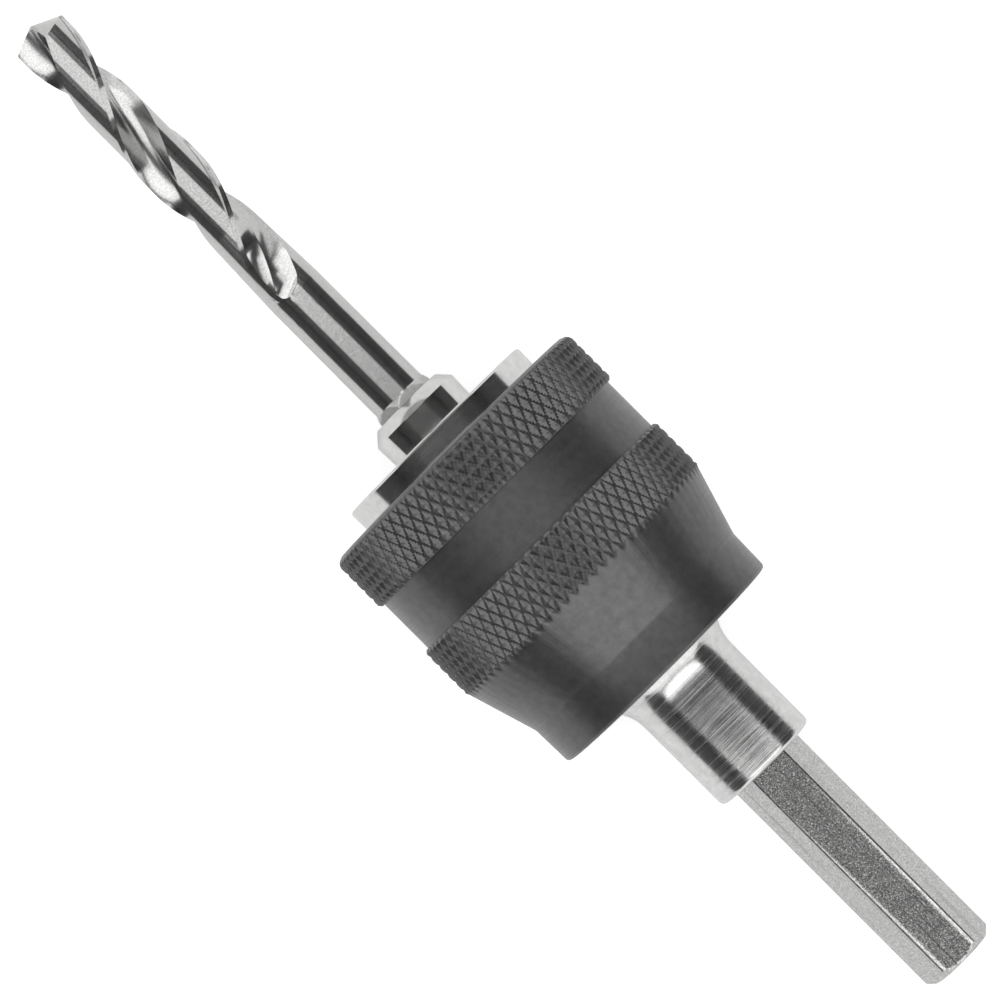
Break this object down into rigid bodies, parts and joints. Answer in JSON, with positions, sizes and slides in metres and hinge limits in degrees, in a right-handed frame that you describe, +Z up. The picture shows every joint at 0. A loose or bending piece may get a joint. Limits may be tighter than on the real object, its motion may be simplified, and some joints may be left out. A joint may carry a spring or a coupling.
{
  "type": "hole saw arbor",
  "caption": "Quick-change hole saw arbor: hexagonal drive shank, knurled sliding collar that locks the saw's adapter with balls, and a twist pilot drill held in its nose.",
  "frame": {"origin": "middle of the bounding box at its base, on the lowest line of the knurled collar", "axes": "+X along the arbor's axis from the drill's point to the shank, +Z up with the shank_flat on top"},
  "size_m": [0.1538, 0.0382, 0.0381],
  "materials": {
    "plated_steel": "turned, dull bright plating",
    "nose_steel": "turned bright steel",
    "spring_pin_steel": "blued spring steel",
    "drill_steel": "ground and polished high-speed steel",
    "spring_steel": "drawn spring wire",
    "snap_ring_steel": "drawn spring wire",
    "collar_spring_steel": "drawn spring wire",
    "washer_steel": "pressed steel",
    "ball_steel": "polished bearing ball",
    "black_oxide": "satin black oxide"
  },
  "bodies": {
    "spindle": {"spindle": "plated_steel", "nose_bush": "nose_steel", "nose_pin": "spring_pin_steel", "pilot_drill": "drill_steel", "drill_clip": "spring_steel", "snap_ring": "snap_ring_steel"},
    "spring_seat": {"collar_spring": "collar_spring_steel"},
    "collar": {"locking_collar": "black_oxide", "spring_washer": "washer_steel"},
    "ball_1": {"locking_ball_1": "ball_steel"},
    "ball_2": {"locking_ball_2": "ball_steel"},
    "ball_3": {"locking_ball_3": "ball_steel"}
  },
  "joints": [
    {"name": "collar_slide", "type": "slide", "parent": "spindle", "child": "spring_seat", "axis": [1, 0, 0], "range_m": [0, 0.006], "stiffness_N_per_m": 1500, "springref_m": -0.004, "deforming": ["collar_spring"]},
    {"name": "collar_spin", "type": "hinge", "parent": "spring_seat", "child": "collar", "pos_m": [0, 0, 0.01905], "axis": [1, 0, 0], "continuous": true},
    {"name": "ball_1_lift", "type": "slide", "parent": "spindle", "child": "ball_1", "axis": [0, 1, 0], "range_m": [0, 0.0012]},
    {"name": "ball_2_lift", "type": "slide", "parent": "spindle", "child": "ball_2", "axis": [0, -0.5, -0.866], "range_m": [0, 0.0012]},
    {"name": "ball_3_lift", "type": "slide", "parent": "spindle", "child": "ball_3", "axis": [0, -0.5, 0.866], "range_m": [0, 0.0012]}
  ],
  "couplings": [
    {"joint": "ball_1_lift", "follows": "collar_slide", "ratio": 0.2},
    {"joint": "ball_2_lift", "follows": "collar_slide", "ratio": 0.2},
    {"joint": "ball_3_lift", "follows": "collar_slide", "ratio": 0.2}
  ]
}
